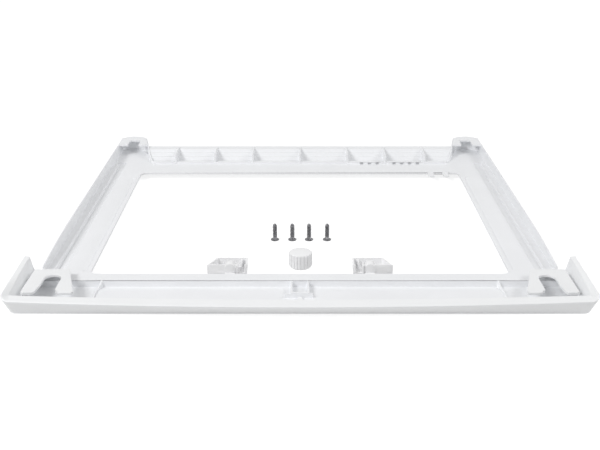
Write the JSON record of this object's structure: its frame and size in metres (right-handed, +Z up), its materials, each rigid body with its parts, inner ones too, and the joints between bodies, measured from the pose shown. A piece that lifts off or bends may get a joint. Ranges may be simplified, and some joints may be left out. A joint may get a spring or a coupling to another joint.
{
  "type": "washer dryer stacking kit",
  "caption": "White moulded tray frame with rear foot pockets, front foot catches and a bowed fascia for standing a dryer on a washer, with loose brackets, ribbed cap and screws.",
  "frame": {"origin": "middle of the footprint at the standing plane", "axes": "+Z up from the standing plane, +Y to the rear of the appliance, +X to the right as seen from the front"},
  "size_m": [0.6, 0.561, 0.027],
  "materials": {
    "tray": "fine moulded texture",
    "fascia": "satin",
    "catch": "satin",
    "small": "satin",
    "steel": "dark, rolled thread"
  },
  "bodies": {
    "frame": {"base_frame": "tray", "front_fascia": "fascia", "foot_catch_left": "catch", "foot_catch_right": "catch"},
    "bracket_left": {"bracket_left": "small"},
    "bracket_right": {"bracket_right": "small"},
    "ribbed_cap": {"ribbed_cap": "small"},
    "screw_1": {"screw_1": "steel"},
    "screw_2": {"screw_2": "steel"},
    "screw_3": {"screw_3": "steel"},
    "screw_4": {"screw_4": "steel"}
  },
  "joints": [
    {"name": "bracket_left_lift", "type": "slide", "parent": "frame", "child": "bracket_left", "axis": [0, 0, 1], "range_m": [0, 0.06]},
    {"name": "bracket_right_lift", "type": "slide", "parent": "frame", "child": "bracket_right", "axis": [0, 0, 1], "range_m": [0, 0.06]},
    {"name": "ribbed_cap_lift", "type": "slide", "parent": "frame", "child": "ribbed_cap", "axis": [0, 0, 1], "range_m": [0, 0.06]},
    {"name": "screw_1_lift", "type": "slide", "parent": "frame", "child": "screw_1", "axis": [0, 0, 1], "range_m": [0, 0.06]},
    {"name": "screw_2_lift", "type": "slide", "parent": "frame", "child": "screw_2", "axis": [0, 0, 1], "range_m": [0, 0.06]},
    {"name": "screw_3_lift", "type": "slide", "parent": "frame", "child": "screw_3", "axis": [0, 0, 1], "range_m": [0, 0.06]},
    {"name": "screw_4_lift", "type": "slide", "parent": "frame", "child": "screw_4", "axis": [0, 0, 1], "range_m": [0, 0.06]}
  ]
}
